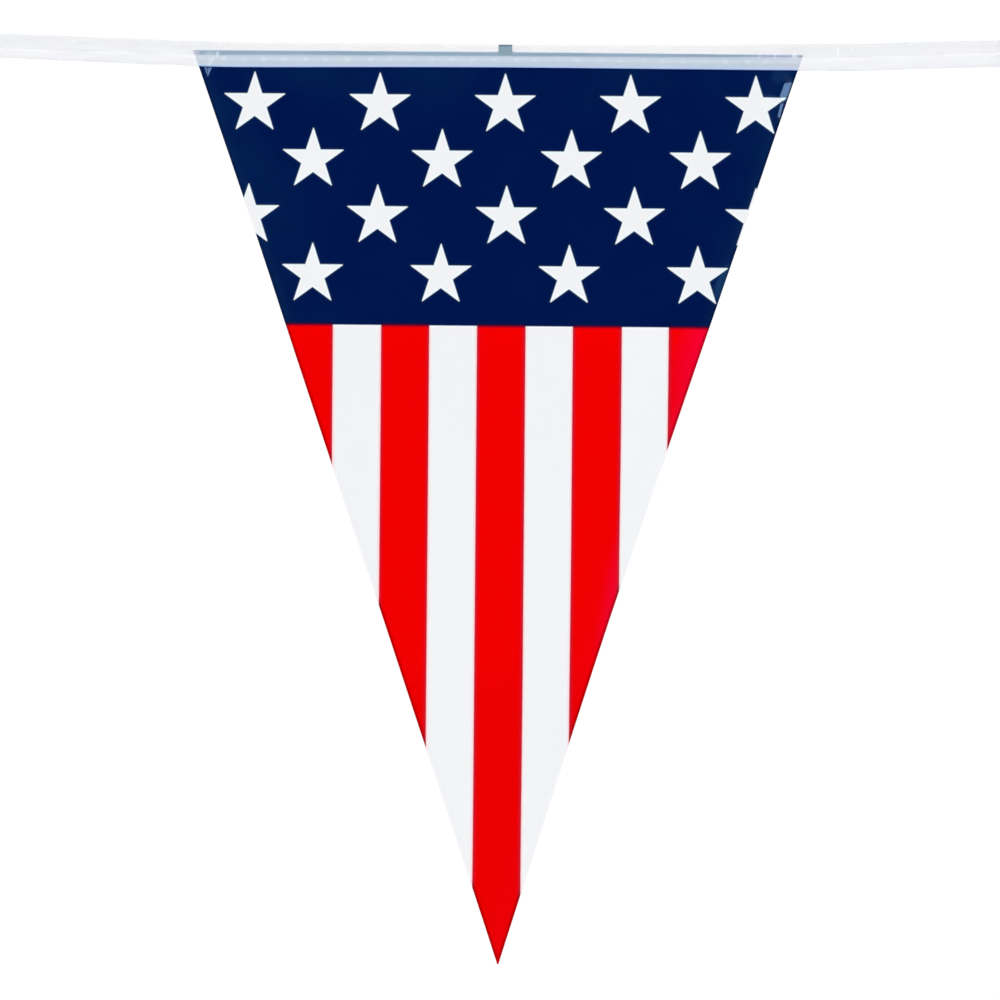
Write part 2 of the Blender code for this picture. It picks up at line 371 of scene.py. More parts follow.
def dent_depth(dent, across, down, rounding):
    """How deep a dent is at a point: two straight flanks and a flat floor between them."""
    up = dent.down - down
    from_left = (across - dent.across + dent.slant_left * up) / math.hypot(1.0, dent.slant_left)
    from_right = (dent.across + dent.slant_right * up - across) / math.hypot(1.0, dent.slant_right)
    flank = min(from_left * dent.slope_left, from_right * dent.slope_right)
    return dent.depth - soft_ramp(dent.depth - soft_ramp(flank, rounding), rounding)


def dress(obj, node, materials):
    """Gives a new piece its materials, attaches it to the root body, and hides the CAD part that it stands for.
    """
    for material in materials:
        obj.data.materials.append(material)
    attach(obj, "root")
    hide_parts(node)


def new_piece(name, mesh_maker):
    """Turns a finished bmesh into an object of the scene."""
    mesh = bpy.data.meshes.new(name)
    mesh_maker.to_mesh(mesh)
    mesh_maker.free()
    piece = bpy.data.objects.new(name, mesh)
    bpy.context.scene.collection.objects.link(piece)
    return piece


# ---------------------------------------------------------------- node helpers


class Term:
    """What a node puts out. Sums, products and soft steps of terms are new nodes of the same net."""

    def __init__(self, net, socket):
        self.net, self.socket = net, socket

    def __add__(self, other):
        return self.net.math("ADD", self, other)

    def __sub__(self, other):
        return self.net.math("SUBTRACT", self, other)

    def __rsub__(self, other):
        return self.net.math("SUBTRACT", other, self)

    def __mul__(self, other):
        return self.net.math("MULTIPLY", self, other)

    def __truediv__(self, other):
        return self.net.math("DIVIDE", self, other)

    def __abs__(self):
        return self.net.math("ABSOLUTE", self)

    __rmul__ = __mul__

    def step(self, low, high, start=0.0, end=1.0):
        """A smooth step from start, where the term is low, to end, where it is high."""
        ends = {"Value": self, "From Min": low, "From Max": high, "To Min": start, "To Max": end}
        return self.net.made("ShaderNodeMapRange", ends, "Result", interpolation_type="SMOOTHSTEP")


class Net:
    """Adds nodes to one node tree and joins their sockets."""

    def __init__(self, tree):
        self.tree = tree

    def node(self, kind, inputs=None, **settings):
        """A new node with some of its inputs fed, by name or number."""
        node = self.tree.nodes.new(kind)
        for name, value in settings.items():
            setattr(node, name, value)
        for name, value in (inputs or {}).items():
            self.feed(node.inputs[name], value)
        return node

    def made(self, kind, inputs=None, output=0, **settings):
        """One of a new node's outputs, as a term."""
        return Term(self, self.node(kind, inputs, **settings).outputs[output])

    def feed(self, socket, value):
        """Joins a socket to a term, or sets it to a plain value."""
        if isinstance(value, Term):
            self.tree.links.new(value.socket, socket)
        elif socket.type == "RGBA" and len(value) == 3:
            socket.default_value = (*value, 1.0)
        else:
            socket.default_value = value

    def math(self, operation, *values):
        return self.made("ShaderNodeMath", dict(enumerate(values)), operation=operation)

    def distance(self, right, up):
        """How far away a point is that lies so far to the right and so far up."""
        return self.math("SQRT", right * right + up * up)

    def mix(self, share, first, second, blend="MIX"):
        """The first colour where share is 0, and the second where it is 1."""
        inputs = {0: share, 6: first, 7: second}
        return self.made("ShaderNodeMix", inputs, 2, data_type="RGBA", blend_type=blend)

    def shade(self, colour, brightness):
        """A colour made brighter or darker by a number."""
        return self.made("ShaderNodeVectorMath", {0: colour, "Scale": brightness}, operation="SCALE")

    def tint(self, colour, added, share):
        """A colour with a share of another one added to it."""
        return self.mix(1.0, colour, self.shade(added, share), "ADD")

    def vector(self, x=0.0, y=0.0, z=0.0):
        return self.made("ShaderNodeCombineXYZ", {0: x, 1: y, 2: z})

    def parts(self, vector):
        """The X, Y and Z of a vector."""
        return [Term(self, part) for part in self.node("ShaderNodeSeparateXYZ", {0: vector}).outputs]

    def noise(self, vector, scale, detail=2.0):
        return self.made("ShaderNodeTexNoise", {"Vector": vector, "Scale": scale, "Detail": detail}, "Fac")

    def attribute(self, name):
        """The X, Y and Z of an attribute of the mesh."""
        return self.parts(self.made("ShaderNodeAttribute", output="Vector", attribute_name=name))

    def place(self, space="Object"):
        return self.made("ShaderNodeTexCoord", output=space)

    def group(self, nodes, inputs):
        """Places a node group, and gives its outputs by name."""
        placed = self.node("ShaderNodeGroup", inputs, node_tree=nodes)
        return {output.name: Term(self, output) for output in placed.outputs}


def floats(*names):
    """Sockets of a node group that are all plain numbers."""
    return dict.fromkeys(names, "Float")


def new_group(name, inputs, outputs):
    """A shader node group: returns it, its net, its inputs as terms, and its output node's sockets."""
    nodes = bpy.data.node_groups.new(name, "ShaderNodeTree")
    for way, sockets in (("INPUT", inputs), ("OUTPUT", outputs)):
        for socket, kind in sockets.items():
            nodes.interface.new_socket(socket, in_out=way, socket_type="NodeSocket" + kind)
    net = Net(nodes)
    given = {socket.name: Term(net, socket) for socket in net.node("NodeGroupInput").outputs}
    return nodes, net, given, net.node("NodeGroupOutput").inputs


def new_material(name):
    """A material with one Principled shader: returns it, its net and the shader's sockets."""
    material = bpy.data.materials.new(name)
    material.use_nodes = True
    return material, Net(material.node_tree), material.node_tree.nodes["Principled BSDF"].inputs


# ---------------------------------------------------------------- the print


def star_group():
    """How far inside a five-pointed star a point lies; below zero outside it."""
    nodes, net, given, result = new_group(
        "Five-pointed star",
        floats("Across", "Down", "Middle Across", "Middle Down", "Radius"),
        floats("Inside"),
    )
    half_point = math.pi / 5
    waist = math.cos(2 * half_point) / math.cos(half_point)  # inner corners, as a share of the radius
    right, up = given["Across"] - given["Middle Across"], given["Middle Down"] - given["Down"]
    away = net.distance(right, up)
    turn = net.math("PINGPONG", net.math("ARCTAN2", right, up), half_point)
    # The side of a point runs from (radius, 0) to the waist's corner; its normal points out of the star.
    side = Vector((waist * math.cos(half_point) - 1.0, waist * math.sin(half_point))).normalized()
    outward = Vector((side.y, -side.x))
    out = away * net.math("COSINE", turn) * outward.x + away * net.math("SINE", turn) * outward.y
    blunt = given["Radius"] - BLUNT_POINT - away
    net.feed(result["Inside"], net.math("MINIMUM", given["Radius"] * outward.x - out, blunt))
    return nodes


def print_group(cut):
    """The pennant's print over its cut sheet."""
    nodes, net, given, result = new_group(
        "Stars and stripes print",
        {**floats("Across", "Down", "To Left", "To Right"), "Navy": "Color", "Red": "Color", "White": "Color"},
        {"Color": "Color", "Ink": "Float"},
    )
    across, down, to_right = given["Across"], given["Down"], given["To Right"]
    to_edge = net.math("MINIMUM", given["To Left"], to_right)
    below = down - cut.field_depth

    # the sheet's right edge curls back, and so the lower stripes beside it look drawn in
    drawn_in = to_right.step(22 * MM, 2 * MM) * down.step(110 * MM, 160 * MM, 0.0, 0.2 * MM)
    beside = abs(across + drawn_in - cut.stripe_middle)
    inside_red = cut.stripe_pitch / 2 - net.math("PINGPONG", beside, cut.stripe_pitch)

    # red ink, a little darker further down, with painted sheen along the curled right edge that makes it rosier
    # there
    wear = down.step(90 * MM, 104 * MM, 1.0, 0.957) * down.step(198 * MM, 214 * MM, 1.0, 0.947)
    # painted sheen: a rosy cast by the right edge, higher up
    red_sheen = to_right.step(1 * MM, 11 * MM, 1.0, 0.0) * down.step(94 * MM, 122 * MM, 1.0, 0.06)
    red = net.tint(net.shade(given["Red"], wear), ADDED["sheen on red"], red_sheen)
    wider = down.step(128 * MM, 150 * MM, 4.5 * MM, 8.5 * MM)
    narrower = down.step(160 * MM, 198 * MM, 8.5 * MM, 3.5 * MM)
    # painted sheen: a bluish cast in a narrow band along the right edge, lower down
    rosy = to_right.step(0.8 * MM, net.math("MINIMUM", wider, narrower), 1.0, 0.0)
    rosy *= down.step(172 * MM, 204 * MM, 1.0, 0.0) * down.step(100 * MM, 122 * MM, 0.25, 1.0)
    rosy *= down.step(130 * MM, 150 * MM, 1.0, 1.375)
    red = net.tint(red, ADDED["bluish sheen on red"], rosy)

    # a deeper rim along each red stripe and a little of its ink run into the white, and navy run into both
    red = net.mix(inside_red.step(0.0, 1.4 * MM, 0.85, 0.0), red, RIMS["red"])
    # painted light: the white is a little brighter towards the right
    white = net.shade(given["White"], across.step(20 * MM, 55 * MM, 1.0, 1.018))
    white = net.mix(inside_red.step(-1.1 * MM, -0.2 * MM), white, RIMS["white by red"])
    red = net.mix(below.step(-0.45 * MM, 1.05 * MM), RIMS["red by navy"], red)
    white = net.mix(below.step(0.4 * MM, 0.8 * MM, 0.7, 0.0), white, RIMS["white by navy"])
    in_red = (inside_red + across * cut.spread_lean + cut.spread).step(-BLEED, BLEED)
    stripes = net.mix(in_red, white, red)

    # the star field, greener and paler towards the cut edges, paler by the stars, and with two blotches of
    # painted teal sheen
    star, inside_star = star_group(), None
    for row in STAR_ROWS:
        for middle in row.across:
            this = net.group(star, {
                "Across": across, "Down": down, "Middle Across": middle, "Middle Down": row.down,
                "Radius": cut.star_radius,
            })["Inside"]
            inside_star = this if inside_star is None else net.math("MAXIMUM", inside_star, this)
    in_star = inside_star.step(-BLEED, BLEED)
    patchy = net.noise(net.vector(across, down), 38.0, 3.0).step(0.30, 0.70)
    paler = net.math("MINIMUM", to_edge, down).step(2 * MM, 26 * MM, 1.0, 0.15) * patchy
    navy = net.tint(given["Navy"], ADDED["pale navy"], paler)
    navy = net.tint(navy, ADDED["navy by the edge"], to_edge.step(1 * MM, 4 * MM, 1.0, 0.0))
    navy = net.tint(navy, ADDED["navy by a star"], inside_star.step(-1.2 * MM, -0.2 * MM))
    # painted sheen: teal blotches where the curled sheet catches the light
    for spot in TEAL_SHEEN_SPOTS:
        navy = net.tint(navy, ADDED[spot.look], spot_mask(net, spot, across, down))
    bright_rim = inside_star.step(0.2 * MM, 1.1 * MM, 0.85, 0.0)
    field = net.mix(in_star, navy, net.mix(bright_rim, given["White"], RIMS["star"]))
    field = net.mix(in_red * below.step(-1.0 * MM, -0.1 * MM), field, red)
    in_field = below.step(-BLEED, BLEED, 1.0, 0.0)
    colour = net.mix(in_field, stripes, field)

    # the die squeezes the ink at the cut edge, which darkens it there, and the red ink most
    on_red, on_navy = (1.0 - in_field) * in_red, in_field * (1.0 - in_star)
    squeezed = (on_navy * 0.20 + on_red * 0.42) * to_edge.step(0.4 * MM, 1.4 * MM, 1.0, 0.0)
    net.feed(result["Color"], net.shade(colour, 1.0 - squeezed))
    net.feed(result["Ink"], on_navy + on_red)
    return nodes


def film_group():
    """What every film shows: uneven gloss, and a surface that is never quite flat."""
    nodes, net, given, result = new_group(
        "Film surface", {"Place": "Vector", "Roughness": "Float"}, floats("Roughness", "Height")
    )
    slow, fine = net.noise(given["Place"], 60.0), net.noise(given["Place"], 900.0)
    net.feed(result["Roughness"], given["Roughness"] + slow * 0.06 - 0.03)
    net.feed(result["Height"], fine * 0.04 + slow)
    return nodes


def film_surface(net, shader, place, roughness, ripple):
    """Gives a film's shader a surface that is never quite flat, and returns how rough it is."""
    nodes = bpy.data.node_groups.get("Film surface") or film_group()
    surface = net.group(nodes, {"Place": place, "Roughness": roughness})
    net.feed(shader["Normal"], net.made("ShaderNodeBump", {"Distance": ripple, "Height": surface["Height"]}))
    return surface["Roughness"]


def spot_group():
    """How far inside a soft slanted spot a point lies: 1 in its middle and 0 outside it."""
    nodes, net, given, result = new_group(
        "Soft spot", floats("X", "Z", "Middle X", "Middle Z", "Reach X", "Reach Z", "Slant"), floats("Mask")
    )
    up = given["Z"] - given["Middle Z"]
    right = given["X"] - given["Middle X"] - up * given["Slant"]
    away = net.distance(right / given["Reach X"], up / given["Reach Z"])
    net.feed(result["Mask"], away.step(1.0, 0.35))
    return nodes


def spot_mask(net, spot, x, z):
    """How strongly a soft spot shows at a point."""
    nodes = bpy.data.node_groups.get("Soft spot") or spot_group()
    return spot.strength * net.group(nodes, {
        "X": x, "Z": z, "Middle X": spot.x, "Middle Z": spot.z,
        "Reach X": spot.reach_x, "Reach Z": spot.reach_z, "Slant": spot.slant,
    })["Mask"]


def printed_film(name, cut, print_nodes, milkiness, roughness):
    """One face of the printed film. milkiness is how pale the print looks through the film."""
    material, net, shader = new_material(name)
    u, v, _ = net.parts(net.made("ShaderNodeUVMap", uv_map=CUT_MAP))
    across, down = (u - 0.5) * cut.width, (1.0 - v) * cut.length
    to_left, to_right, _ = net.attribute(FROM_EDGES)
    printed = net.group(print_nodes, {
        "Across": across, "Down": down, "To Left": to_left, "To Right": to_right,
        "Navy": cut.navy, "Red": cut.red, "White": cut.white,
    })
    net.feed(shader["Base Color"], net.mix(milkiness, printed["Color"], cut.white))
    rough = film_surface(net, shader, net.vector(across, down), roughness, 0.02 * MM)
    net.feed(shader["Roughness"], rough - printed["Ink"] * 0.03)
    return material


def cut_edge_film(cut):
    """The bare film at the cut edge."""
    material, net, shader = new_material("Cut film edge")
    uneven = net.noise(net.place(), 400.0).step(0.3, 0.7, 0.75, 1.0)
    net.feed(shader["Base Color"], net.shade(cut.white, uneven))
    shader["Roughness"].default_value = 0.4
    return material


# ---------------------------------------------------------------- the pennant


def long_edge(cut, side, share):
    """The point of a long edge at this share of the way down; side is -1 for left and 1 for right."""
    top = side * cut.width / 2
    tip = cut.skew + side * cut.tip_width / 2
    inside = along(LONG_EDGES, share, "left" if side < 0 else "right")
    return top + (tip - top) * share - side * inside, cut.length * share


def inside_edge(cut, side, across, down):
    """How far inside a long edge a point lies, square to the edge."""
    slant = math.cos(math.atan2(cut.width / 2, cut.length))
    return side * (long_edge(cut, side, clamp(down / cut.length))[0] - across) * slant


def sheet_depth(cut, across, down):
    """How far to the back the hanging sheet stands at a point of the cut sheet."""
    depth = 0.0
    for bend in SHEET_BENDS:
        reach = math.hypot((across - bend.across) / bend.reach_across, (down - bend.down) / bend.reach_down)
        depth += bend.depth * ease(1.0 - reach)
    share = clamp(down / cut.length)
    for side, curl in ((-1, cut.curl_left), (1, cut.curl_right)):
        inside = side * (long_edge(cut, side, share)[0] - across)
        depth += curl * clamp(1.0 - inside / cut.curl_width) ** 2 * math.sin(math.pi * share)
    depth *= ease((down - cut.free_from) / (cut.free_by - cut.free_from))
    creased = max(crease_depth(crease, across, down) for crease in PENNANT_CREASES)
    creased = max(creased, dent_depth(CORNER_DENT, across, down, cut.crease_round))
    return depth + creased * ease((down - cut.crease_from) / cut.crease_ease)


def hang(cut, across, down):
    """World place of a point of the cut sheet, on the sheet's middle surface."""
    x = across * math.cos(cut.turn) - down * math.sin(cut.turn)
    drop = across * math.sin(cut.turn) + down * math.cos(cut.turn)
    crown = cut.crown * (1.0 - (2 * across / cut.width) ** 2) * ease(1.0 - down / cut.free_from)
    return x, sheet_depth(cut, across, down), crown - cut.drop - drop


def lines_between(low, high, spacing):
    """Evenly spaced places between low and high."""
    count = math.ceil((high - low) / spacing)
    return [low + (high - low) * line / count for line in range(1, count)]


def divide(sheet, geometry, left, right, top, bottom, spacing):
    """Cuts the flat sheet's faces into squares between the given places."""
    for place in lines_between(left, right, spacing):
        geometry = bmesh.ops.bisect_plane(
            sheet, geom=geometry, plane_co=(place, 0, 0), plane_no=(1, 0, 0), dist=spacing / 40)["geom"]
    for place in lines_between(top, bottom, spacing):
        geometry = bmesh.ops.bisect_plane(
            sheet, geom=geometry, plane_co=(0, place, 0), plane_no=(0, 1, 0), dist=spacing / 40)["geom"]


def flat_pennant(cut):
    """The pennant's outline, with its tab, lying flat in cut coordinates and divided into squares."""
    sheet = bmesh.new()
    tab_left, tab_right = cut.tab_middle - cut.tab_width / 2, cut.tab_middle + cut.tab_width / 2
    shares = [step / EDGE_STEPS for step in range(EDGE_STEPS + 1)]
    right = [sheet.verts.new((*long_edge(cut, 1, share), 0)) for share in shares]
    left = [sheet.verts.new((*long_edge(cut, -1, share), 0)) for share in shares]
    foot_left = sheet.verts.new((tab_left - cut.tab_foot, 0, 0))
    foot_right = sheet.verts.new((tab_right + cut.tab_foot, 0, 0))
    low, high = cut.tab_foot / 2, cut.tab_rise
    tab = [
        sheet.verts.new((across, -rise, 0))
        for across, rise in ((tab_left, low), (tab_left, high), (tab_right, high), (tab_right, low))
    ]
    sheet.faces.new([foot_left, foot_right] + right + left[::-1])
    sheet.faces.new([foot_left] + tab + [foot_right])
    everything = sheet.verts[:] + sheet.edges[:] + sheet.faces[:]
    divide(sheet, everything, -cut.width / 2, cut.width / 2, 0.0, cut.length, GRID)
    for patch in FINE_PATCHES:
        faces = [
            face for face in sheet.faces
            if patch.left < face.calc_center_median().x < patch.right
            and patch.top < face.calc_center_median().y < patch.bottom
        ]
        edges = {edge for face in faces for edge in face.edges}
        verts = {vert for face in faces for vert in face.verts}
        divide(sheet, faces + list(edges) + list(verts), *patch)
    crowded = [face for face in sheet.faces if len(face.verts) > 4]
    bmesh.ops.triangulate(sheet, faces=crowded)
    return sheet


def give_thickness(sheet, uv_layer, thickness):
    """Turns the hung sheet into a closed film: a front, a back and the cut edge between them."""
    sheet.normal_update()
    fronts, edges, verts = sheet.faces[:], [edge for edge in sheet.edges if edge.is_boundary], sheet.verts[:]
    marks = sheet.verts.layers.float_vector[FROM_EDGES]
    behind = {}
    for vert in verts:
        inward = vert.normal * (thickness / 2)
        behind[vert] = sheet.verts.new(vert.co - inward)
        behind[vert][marks] = vert[marks]
        vert.co += inward
    for face in fronts:
        copy = sheet.faces.new([behind[vert] for vert in reversed(face.verts)])
        copy.material_index = 1
        for loop, twin in zip(copy.loops, reversed(face.loops[:])):
            loop[uv_layer].uv = twin[uv_layer].uv
    for edge in edges:
        loop = edge.link_loops[0]
        first, second = loop.vert, loop.link_loop_next.vert
        rim = sheet.faces.new([second, first, behind[first], behind[second]])
        rim.material_index = 2
        for corner, source in zip(rim.loops, (loop.link_loop_next, loop, loop, loop.link_loop_next)):
            corner[uv_layer].uv = source[uv_layer].uv
        for sharp in rim.edges:
            faces = sharp.link_faces
            if len(faces) == 2 and faces[0].material_index != faces[1].material_index:
                sharp.smooth = False


def make_pennant(cut):
    sheet = flat_pennant(cut)
    uv_layer = sheet.loops.layers.uv.new(CUT_MAP)
    marks = sheet.verts.layers.float_vector.new(FROM_EDGES)
    for face in sheet.faces:
        for loop in face.loops:
            across, down, _ = loop.vert.co
            loop[uv_layer].uv = across / cut.width + 0.5, 1.0 - down / cut.length
    for vert in sheet.verts:
        across, down, _ = vert.co
        vert[marks] = inside_edge(cut, -1, across, down), inside_edge(cut, 1, across, down), 0.0
    for vert in sheet.verts:
        vert.co = hang(cut, vert.co.x, vert.co.y)
    bmesh.ops.recalc_face_normals(sheet, faces=sheet.faces)
    if sum(face.normal.y * face.calc_area() for face in sheet.faces) > 0:
        bmesh.ops.reverse_faces(sheet, faces=sheet.faces)
    give_thickness(sheet, uv_layer, cut.film)
    for face in sheet.faces:
        face.smooth = True
    return new_piece("printed_pennant", sheet)


# ---------------------------------------------------------------- the tape


SectionPoint = namedtuple("SectionPoint", "out drop flap")
HEM_STEPS, LEAF_STEPS, FOLD_STEPS, FLAP_STEPS = 4, 16, 6, 5


def over_pennant(x, cut):
    """1 where the tape holds the pennant, easing to 0 past its corners."""
    return 1.0 - ease((abs(x) - cut.width / 2) / PAST_CORNER)


def leaf_swell(tape, x, drop, height, seam, side):
    """How far a side of the tape stands out from flat, at a distance below the fold."""
    above_hem = height - drop
    held = ease(drop / (1.0 * MM)) * ease(above_hem / (0.6 * MM))
    swell = tape.bulge * math.sin(math.pi * clamp(drop / (height - seam)))
    swell *= 0.75 + 0.5 * noise.noise((x * 90.0, side * 7.0, 1.0))
    knurl = 0.65 + 0.35 * math.sin(2 * math.pi * x / KNURL_PITCH) * noise.noise((x * 160.0, side * 3.0, 9.0))
    pinch = tape.seam_pinch * knurl * math.exp(-(((above_hem - seam) / (0.35 * MM)) ** 2))
    crinkle = 0.06 * MM * noise.noise((x * 120.0, drop * 280.0, side * 11.0))
    return held * (swell - pinch + crinkle)


def hem_heights(x):
    """How far above the hem the raw edges and the sealed line run at x."""
    uneven = 1.0 + 0.02 * noise.noise((x * 70.0, 5.0, 2.0))
    return along(TAPE_RUN, x, "raw") * uneven, along(TAPE_RUN, x, "seal")


def tape_section(tape, cut, x):
    """The folded strip's outline across Y at x, from the front's raw edge, over the fold, to the back's."""
    height = along(TAPE_RUN, x, "height")
    raw, seam = hem_heights(x)
    leaf = tape.leaf_out_end + (tape.leaf_out - tape.leaf_out_end) * over_pennant(x, cut)
    inner = leaf - tape.flap_inset
    round_middle, radius = (leaf + inner) / 2, tape.flap_inset / 2
    room = tape.room * ease(1.0 - abs(x - CORNER_DENT.across) / tape.room_reach)
    sides = []
    for side in (-1, 1):
        points = [
            SectionPoint(inner, height - raw + (raw - radius) * step / FLAP_STEPS, 1.0)
            for step in range(FLAP_STEPS)
        ]
        for step in range(HEM_STEPS + 1):
            turn = math.pi * step / HEM_STEPS
            points.append(SectionPoint(
                round_middle - radius * math.cos(turn), height - radius + radius * math.sin(turn),
                1.0 if step < HEM_STEPS / 2 else 0.0,
            ))
        low, high = height - radius, leaf
        for step in range(1, LEAF_STEPS):
            drop = low + (high - low) * step / LEAF_STEPS
            points.append(SectionPoint(leaf + leaf_swell(tape, x, drop, height, seam, side), drop, 0.0))
        if side > 0:
            points = [
                point._replace(out=point.out + room * ease(point.drop / (height - raw))) for point in points
            ]
        sides.append([point._replace(out=side * point.out) for point in points])
    turns = [math.pi * step / FOLD_STEPS for step in range(FOLD_STEPS + 1)]
    fold = [SectionPoint(-leaf * math.cos(turn), leaf - leaf * math.sin(turn), 0.0) for turn in turns]
    front, back = sides
    return front + fold + back[::-1]


def make_tape(tape, cut):
    first, last = TAPE_RUN[0].x, TAPE_RUN[-1].x
    steps = round((last - first) / TAPE_STEP)
    strip = bmesh.new()
    uv_layer = strip.loops.layers.uv.new(STRIP_MAP)
    marks = strip.verts.layers.float_vector.new(TAPE_PLACE)
    hem_marks = strip.verts.layers.float_vector.new(TAPE_HEM)
    rings, flat = [], {}
    for step in range(steps + 1):
        x = first + (last - first) * step / steps
        top, stray, height = (along(TAPE_RUN, x, column) for column in ("top", "stray", "height"))
        raw, seam = hem_heights(x)
        ring, run, before = [], 0.0, None
        for point in tape_section(tape, cut, x):
            vert = strip.verts.new((x, stray + point.out, top - point.drop))
            above_hem = height - point.drop
            vert[marks] = point.drop, above_hem, point.flap
            vert[hem_marks] = above_hem - raw, above_hem - seam, 0.0
            run += (vert.co - before.co).length if before else 0.0
            flat[vert] = (step / steps, run / tape.strip_width)
            ring.append(vert)
            before = vert
        rings.append(ring)
    for ring, following in zip(rings, rings[1:]):
        for place in range(len(ring) - 1):
            face = strip.faces.new([ring[place], ring[place + 1], following[place + 1], following[place]])
            face.smooth = True
            for loop in face.loops:
                loop[uv_layer].uv = flat[loop.vert]
    return new_piece("folded_tape", strip)


def pennant_behind(cut, x, z):
    """Where the pennant lies behind the tape, from the way it hangs: masks of its sheet, of its tab down to the
    hem, of the gleam above its top edge, and of its corners, and how far out from its middle a point lies."""
    drop = -cut.drop - z
    across = x * math.cos(cut.turn) + drop * math.sin(cut.turn)
    out = across * (2 / cut.width)
    down = drop * math.cos(cut.turn) - x * math.sin(cut.turn) + (1.0 - out * out) * cut.crown
    middle = (LONG_EDGES[0].left - LONG_EDGES[0].right) / 2
    inside = cut.width / 2 - down * (cut.width / 2 / cut.length) - abs(across - middle)
    soft = 0.12 * MM
    between = inside.step(-soft, soft)
    on_sheet = between * down.step(-0.45 * MM, 0.25 * MM)
    on_tab = abs(across - cut.tab_middle).step(cut.tab_width / 2 - soft, cut.tab_width / 2 + soft, 1.0, 0.0)
    on_tab *= down.step(-cut.tab_rise - soft, -cut.tab_rise + soft) * down.step(1.6 * MM, 0.8 * MM)
    gleam = between * down.step(-1.1 * MM, -0.5 * MM) * down.step(-0.5 * MM, 0.0, 1.0, 0.0)
    return on_sheet, on_tab, gleam, inside.step(12 * MM, 1 * MM), abs(out)


def tape_film(tape, cut):
    """Milky film that looks steel blue over dark ink, and denser where its edges are turned in."""
    material, net, shader = new_material("Milky tape film")
    place = net.place()
    x, _, z = net.parts(place)
    lengthwise = net.vector(x)
    below_fold, above_hem, flap = net.attribute(TAPE_PLACE)
    above_raw, above_seal, _ = net.attribute(TAPE_HEM)
    on_sheet, on_tab, gleam, corner, out = pennant_behind(cut, x, z)
    over = net.math("MAXIMUM", on_sheet, on_tab)

    # denser in the hem, where the edges are turned in, and bluer along its rim; painted light above the raw
    # edges and painted shade towards the hem's bottom
    in_hem = above_raw.step(0.3 * MM, -0.3 * MM)
    taut = out.step(1.08, 0.70)
    milky = net.mix(taut, tape.milk, tape.taut_milk)
    # the hem's own paler milk below the raw edges, and above them painted light that offsets the shade the
    # turned-in edges cast
    milky = net.mix(above_raw.step(2.6 * MM, 0.0), milky, tape.hem_milk)
    milky = net.mix(gleam * 0.8, milky, FILM["gleam"])
    # painted shade: the milky film is a little darker towards the hem's bottom edge
    milky = net.shade(milky, above_hem.step(0.2 * MM, 1.6 * MM, 0.975, 1.0))
    single = net.shade(tape.over_ink, net.noise(lengthwise, 34.0, 0.0).step(0.35, 0.65, 0.95, 1.03))
    single = net.mix(on_tab, single, FILM["over tab"])
    double = net.mix(corner * 0.8, tape.hem_over_ink, FILM["hem at corner"])
    over_ink = net.mix(in_hem, single, double)
    over_ink = net.mix(above_hem.step(1.0 * MM, 0.5 * MM), over_ink, tape.rim_over_ink)
    over_ink = net.mix(above_hem.step(0.40 * MM, 0.05 * MM), over_ink, FILM["lowest rim"])
    colour = net.mix(over, milky, over_ink)

    # soft patches, a little lighter or darker, and greener or rosier
    patches = net.vector(x * 95.0, above_hem * 430.0, flap)
    colour = net.shade(colour, net.noise(patches, 1.0, 1.0).step(0.25, 0.75, 0.972, 1.012))
    cast = net.mix(net.noise(patches, 0.6, 0.0).step(0.35, 0.65), FILM["greener"], FILM["rosier"])
    colour = net.mix(1.0, colour, cast, "MULTIPLY")

    # the sealed line: a gleam with a bright dash at each pitch over the pennant, and longer dashes past it
    from_seam = abs(above_seal)
    jitter = net.noise(lengthwise, 130.0, 0.0) * (3 * MM) + x
    dash = net.math("PINGPONG", jitter, tape.dash_pitch / 2).step(1.5 * MM, 0.5 * MM)
    dash *= net.noise(lengthwise, 230.0, 0.0).step(0.35, 0.60, 0.25, 1.0) * (1.0 - corner * 0.6)
    broad = from_seam.step(1.1 * MM, 0.1 * MM) * (dash * 0.5 + 0.5)
    thin = from_seam.step(0.5 * MM, 0.15 * MM) * net.noise(lengthwise, 75.0, 0.0).step(0.44, 0.54)
    colour = net.mix(broad * over, colour, tape.seal_over_ink)
    colour = net.mix(thin * (1.0 - over), colour, tape.seal_milk)

    # creases at the pennant's corners, and painted glints on them
    creased = 0.0
    for spot in TAPE_SPOTS_AND_GLINTS:
        mask = spot_mask(net, spot, x, z)
        colour = net.mix(mask, colour, SPOT_AND_GLINT_COLOURS[spot.look])
        creased = net.math("MAXIMUM", creased, mask)
    # painted shade: a little darker along the hem's lowest round, which faces down
    net.feed(shader["Base Color"], net.shade(colour, above_hem.step(0.1 * MM, 0.45 * MM, 0.965, 1.0)))

    # the fold's round looks thinner against the light, and most above the pennant's middle
    at_fold = below_fold.step(0.0, 1.1 * MM, 0.80 - taut * 0.45, 1.0)
    alpha = in_hem * (tape.dense - tape.clear) + at_fold * tape.clear
    net.feed(shader["Alpha"], alpha + creased * (tape.dense_spot - alpha))
    net.feed(shader["Roughness"], film_surface(net, shader, place, 0.22, 0.05 * MM))
    return material


# ---------------------------------------------------------------- the stage


def aim(obj, place, target):
    obj.location = place
    obj.rotation_euler = (Vector(target) - Vector(place)).to_track_quat("-Z", "Y").to_euler()


def make_camera(stage):
    sensor = 36.0
    data = bpy.data.cameras.new("photo_view")
    data.sensor_width = sensor
    data.lens = sensor * stage.view_distance / stage.view_width
    data.clip_start, data.clip_end = 0.05, 30.0
    camera = bpy.data.objects.new("photo_view", data)
    bpy.context.scene.collection.objects.link(camera)
    right, height = stage.view_right, stage.view_height
    aim(camera, (right, -stage.view_distance, height), (right, 0.0, height))
    bpy.context.scene.camera = camera


